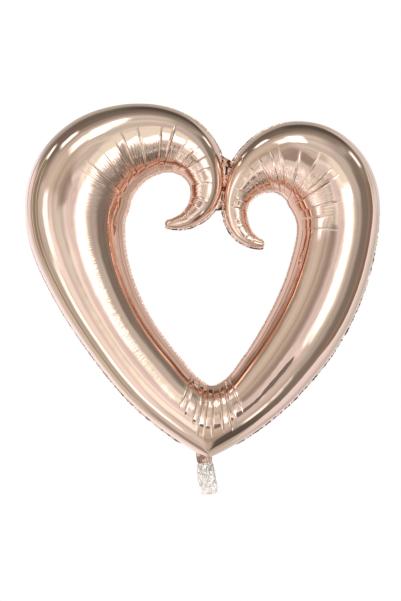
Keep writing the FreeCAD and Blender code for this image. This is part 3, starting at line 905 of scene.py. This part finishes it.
def studio_world():
    """White seamless studio as the foil mirrors it; the camera itself sees plain white."""
    world = bpy.data.worlds.new("studio")
    world.use_nodes = True
    bpy.context.scene.world = world
    n = Nodes(world.node_tree)
    direction = n.add("ShaderNodeTexCoord").outputs["Generated"]
    x, y, z = n.add("ShaderNodeSeparateXYZ", {0: direction}).outputs
    polar = n.math("MULTIPLY", n.math("ARCCOSINE", n.math("MULTIPLY", y, -1.0)), 180 / math.pi)
    clock = n.math("MULTIPLY", n.math("ARCTAN2", z, x), 180 / math.pi)
    full_clock = n.math("MODULO", n.math("ADD", clock, 360.0), 360.0)

    def clock_band(limits, soft):
        """Directions round the clock; limits that start below 0 are counted from -180 to 180."""
        return n.band(clock if limits[0] < 0 else full_clock, *limits, soft)

    def paint(colour, patches):
        """The colour with patches over it."""
        for patch in patches:
            cover = n.math("MULTIPLY", n.band(polar, *patch.polar, patch.soft[0]),
                           clock_band(patch.clock, patch.soft[1]))
            colour = n.mix(cover, colour, tuple(patch.level * part for part in patch.tint) + (1.0,))
        return colour

    edge = ROOM_EDGE
    for limits, soft, further in EDGE_SHIFTS:
        edge = n.math("ADD", edge, n.math("MULTIPLY", clock_band(limits, soft), further))
    softness = n.math("ADD", EDGE_SOFTNESS, n.math("MULTIPLY", clock_band(*OVERHEAD), OVERHEAD_SOFTNESS))
    beyond = n.ramp(n.math("DIVIDE", n.math("SUBTRACT", polar, edge), softness), -1.0, 1.0)
    colour = n.mix(beyond, paint(ROOM, STUDIO), paint(SWEEP, BEHIND))

    # furniture and folds: streaks across the polar angle, and a slow change of tint
    streaks = [n.math("MULTIPLY", value, rate) for value, rate in ((polar, 0.10), (z, 0.6), (x, 0.6))]
    clutter = n.noise(n.add("ShaderNodeCombineXYZ", dict(enumerate(streaks))).outputs[0], 1.0, 1.0)
    clutter = n.ramp(clutter, 0.32, 0.68, to_low=0.85, to_high=1.15)
    spots = n.noise(direction, 2.5, 1.0)
    shade = n.mix(n.ramp(spots, 0.38, 0.62), (1.03, 0.98, 0.98, 1.0), (0.99, 1.01, 0.95, 1.0))
    for factor in (clutter, shade):
        colour = n.vector_math("MULTIPLY", colour, factor)

    seen = n.add("ShaderNodeLightPath").outputs["Is Camera Ray"]
    colour = n.mix(seen, colour, WHITE)
    background = n.add("ShaderNodeBackground", {"Color": colour, "Strength": 1.0})
    n.finish("ShaderNodeOutputWorld", background.outputs[0])


def stage_sheet(name, corners, material):
    """Flat sheet that belongs to the studio."""
    mesh = bpy.data.meshes.new(name)
    mesh.from_pydata(corners, [], [tuple(range(len(corners)))])
    mesh.materials.append(material)
    return add_object(name, mesh)


def glowing(name, colour, strength=None):
    """Material that gives off its colour, at strength 1 or at a strength from other nodes."""
    material, n = new_material(name)
    glow = n.add("ShaderNodeEmission", {"Color": colour})
    if strength:
        n.tree.links.new(strength(n), glow.inputs["Strength"])
    n.finish("ShaderNodeOutputMaterial", glow.outputs[0])
    return material


def floor_glow(n):
    """White to the camera, and a little less light than that on the balloon."""
    return n.ramp(n.add("ShaderNodeLightPath").outputs["Is Camera Ray"], 0, 1, to_low=FLOOR_GLOW)


def pale_floor(height):
    """Seamless white floor under the balloon."""
    corners = [(x * FLOOR_HALF, y * FLOOR_HALF, height) for x, y in ((-1, -1), (1, -1), (1, 1), (-1, 1))]
    floor = stage_sheet("floor", corners, glowing("pale_floor", WHITE, floor_glow))
    floor.visible_glossy = False


def dark_card():
    """Dark round card below the camera; only the foil's mirror shows it."""
    turns = np.linspace(0, 2 * math.pi, 40, endpoint=False)
    x, y, z = CARD_CENTRE
    rim = [(x + CARD_RADIUS * math.cos(turn), y, z + CARD_RADIUS * math.sin(turn)) for turn in turns]
    card = stage_sheet("dark_card", rim, glowing("dark_card", CARD_GREY))
    card.visible_camera = card.visible_diffuse = card.visible_shadow = card.visible_transmission = False


def add_camera():
    """Camera square to the seam plane, in front of the heart."""
    data = bpy.data.cameras.new("camera")
    data.sensor_width = SENSOR_WIDTH
    data.lens = SENSOR_WIDTH * CAMERA_DISTANCE / VIEW_HEIGHT
    camera = add_object("camera", data)
    camera.location = (VIEW_CENTRE[0], -CAMERA_DISTANCE, VIEW_CENTRE[1])
    camera.rotation_euler = (math.pi / 2, 0, 0)
    bpy.context.scene.camera = camera


def soft_light():
    """Soft area light aimed at the middle of the heart."""
    data = bpy.data.lights.new("soft_top", "AREA")
    data.shape, data.size, data.energy = "DISK", LIGHT_SIZE, LIGHT_POWER
    light = add_object("soft_top", data)
    light.location = LIGHT_PLACE
    target = Vector((VIEW_CENTRE[0], 0.0, VIEW_CENTRE[1]))
    light.rotation_euler = (target - Vector(LIGHT_PLACE)).to_track_quat("-Z", "Y").to_euler()
    light.visible_glossy = False


# -------------------------------- the assembly
def main():
    foil, limp = taut_foil(), limp_foil()
    margin = sealed_foil("rose_gold_sealed_margin", *MARGIN_TINTS)
    # the web in the notch between the hooks gets painted shade and copper reflection
    folded = sealed_foil("shaded_copper_web", *WEB_SHADE_TINTS)
    front = build_sheet("foil_front", -1, np.random.default_rng(11), foil)
    rear = build_sheet("foil_rear", 1, np.random.default_rng(12), foil)
    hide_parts("front_panel")
    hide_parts("rear_panel")
    rng = np.random.default_rng(40)
    riders = [
        front,
        rear,
        outer_margin("outer_margin_left", LEFT, RIGHT, "outer_seam_left", LEFT_RUFFLES, margin, rng),
        outer_margin("outer_margin_right", RIGHT, LEFT, "outer_seam_right", RIGHT_RUFFLES, margin, rng),
        *inner_margin(margin, rng),
        hook_web(folded, rng),
    ]
    for piece in riders:
        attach(piece, "heart")
    build_neck(limp)

    film, weld = valve_film(), weld_plastic()
    for node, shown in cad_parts.items():
        if node.startswith("valve"):
            shown.data.materials.clear()
            shown.data.materials.append(weld if "weld" in node else film)

    studio_world()
    pale_floor(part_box("tail_lower_front")[0].z - FLOOR_DROP)
    dark_card()
    soft_light()
    add_camera()
    bpy.context.scene.view_settings.view_transform = "Standard"


main()
